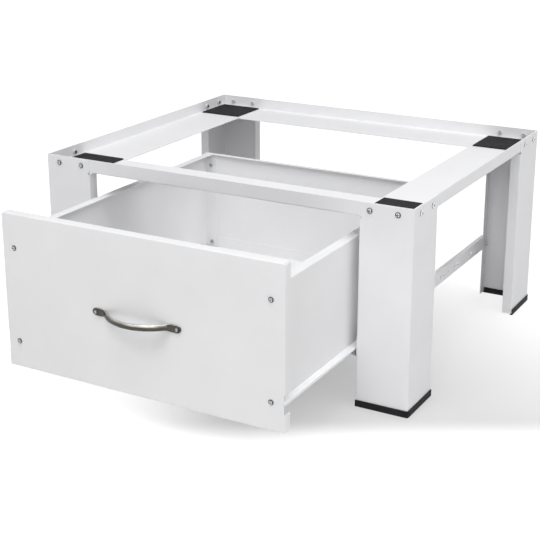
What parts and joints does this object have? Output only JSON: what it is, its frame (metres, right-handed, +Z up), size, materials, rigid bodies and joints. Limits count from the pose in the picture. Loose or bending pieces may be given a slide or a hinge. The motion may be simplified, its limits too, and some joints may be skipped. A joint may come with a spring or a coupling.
{
  "type": "washer pedestal drawer",
  "caption": "Sheet-metal pedestal that raises a washing machine, with a pull-out storage drawer on roller slides.",
  "frame": {"origin": "On the floor, midway across the whole part and midway between the front of the handle and the rear bolts, with the drawer drawn 210 mm out.", "axes": "+Z up, the drawer opens towards -Y, +X to the right of someone facing the drawer."},
  "size_m": [0.6348, 0.7809, 0.31],
  "materials": {
    "frame_white": "satin white powder coat on folded steel",
    "drawer_white": "satin white powder coat on thin folded steel",
    "slide_white": "smooth white coat on roll-formed slides",
    "pad_rubber": "black anti-slip rubber sheet with a fine grain",
    "foot_rubber": "black moulded rubber, matt",
    "zinc_hardware": "bright zinc-plated steel",
    "handle_nickel": "polished dark nickel plate",
    "roller_nylon": "grey moulded nylon"
  },
  "bodies": {
    "frame": {"leg_front_left": "frame_white", "leg_front_right": "frame_white", "leg_rear_left": "frame_white", "leg_rear_right": "frame_white", "rail_front": "frame_white", "rail_rear": "frame_white", "rail_left": "frame_white", "rail_right": "frame_white", "pad_front_left": "pad_rubber", "pad_front_right": "pad_rubber", "pad_rear_left": "pad_rubber", "pad_rear_right": "pad_rubber", "foot_front_left": "foot_rubber", "foot_front_right": "foot_rubber", "foot_rear_left": "foot_rubber", "foot_rear_right": "foot_rubber", "frame_bolts": "zinc_hardware", "frame_nuts": "zinc_hardware", "slide_frame_left": "slide_white", "slide_frame_right": "slide_white", "slide_frame_screws": "zinc_hardware", "slide_frame_nuts": "zinc_hardware", "front_axle_left": "zinc_hardware", "front_axle_right": "zinc_hardware"},
    "drawer": {"drawer_front": "drawer_white", "drawer_side_left": "drawer_white", "drawer_side_right": "drawer_white", "drawer_back": "drawer_white", "drawer_floor": "drawer_white", "panel_screws": "zinc_hardware", "panel_nuts": "zinc_hardware", "back_screws": "zinc_hardware", "back_nuts": "zinc_hardware", "handle": "handle_nickel", "handle_screws": "zinc_hardware", "handle_nuts": "zinc_hardware", "slide_drawer_left": "slide_white", "slide_drawer_right": "slide_white", "slide_drawer_screws": "zinc_hardware", "slide_drawer_nuts": "zinc_hardware", "rear_axle_left": "zinc_hardware", "rear_axle_right": "zinc_hardware"},
    "front_wheel_left": {"front_roller_left": "roller_nylon"},
    "front_wheel_right": {"front_roller_right": "roller_nylon"},
    "rear_wheel_left": {"rear_roller_left": "roller_nylon"},
    "rear_wheel_right": {"rear_roller_right": "roller_nylon"}
  },
  "joints": [
    {"name": "drawer_slide", "type": "slide", "parent": "frame", "child": "drawer", "axis": [0, -1, 0], "range_m": [-0.21, 0.17]},
    {"name": "front_roller_left_spin", "type": "hinge", "parent": "frame", "child": "front_wheel_left", "pos_m": [-0.2258, -0.14, 0.0818], "axis": [1, 0, 0], "continuous": true},
    {"name": "front_roller_right_spin", "type": "hinge", "parent": "frame", "child": "front_wheel_right", "pos_m": [0.2258, -0.14, 0.0818], "axis": [1, 0, 0], "continuous": true},
    {"name": "rear_roller_left_spin", "type": "hinge", "parent": "drawer", "child": "rear_wheel_left", "pos_m": [-0.2258, 0.16226, 0.0972], "axis": [1, 0, 0], "continuous": true},
    {"name": "rear_roller_right_spin", "type": "hinge", "parent": "drawer", "child": "rear_wheel_right", "pos_m": [0.2258, 0.16226, 0.0972], "axis": [1, 0, 0], "continuous": true}
  ],
  "couplings": [
    {"joint": "front_roller_left_spin", "follows": "drawer_slide", "rad_per_m": 125},
    {"joint": "front_roller_right_spin", "follows": "drawer_slide", "rad_per_m": 125},
    {"joint": "rear_roller_left_spin", "follows": "drawer_slide", "rad_per_m": 100},
    {"joint": "rear_roller_right_spin", "follows": "drawer_slide", "rad_per_m": 100}
  ]
}
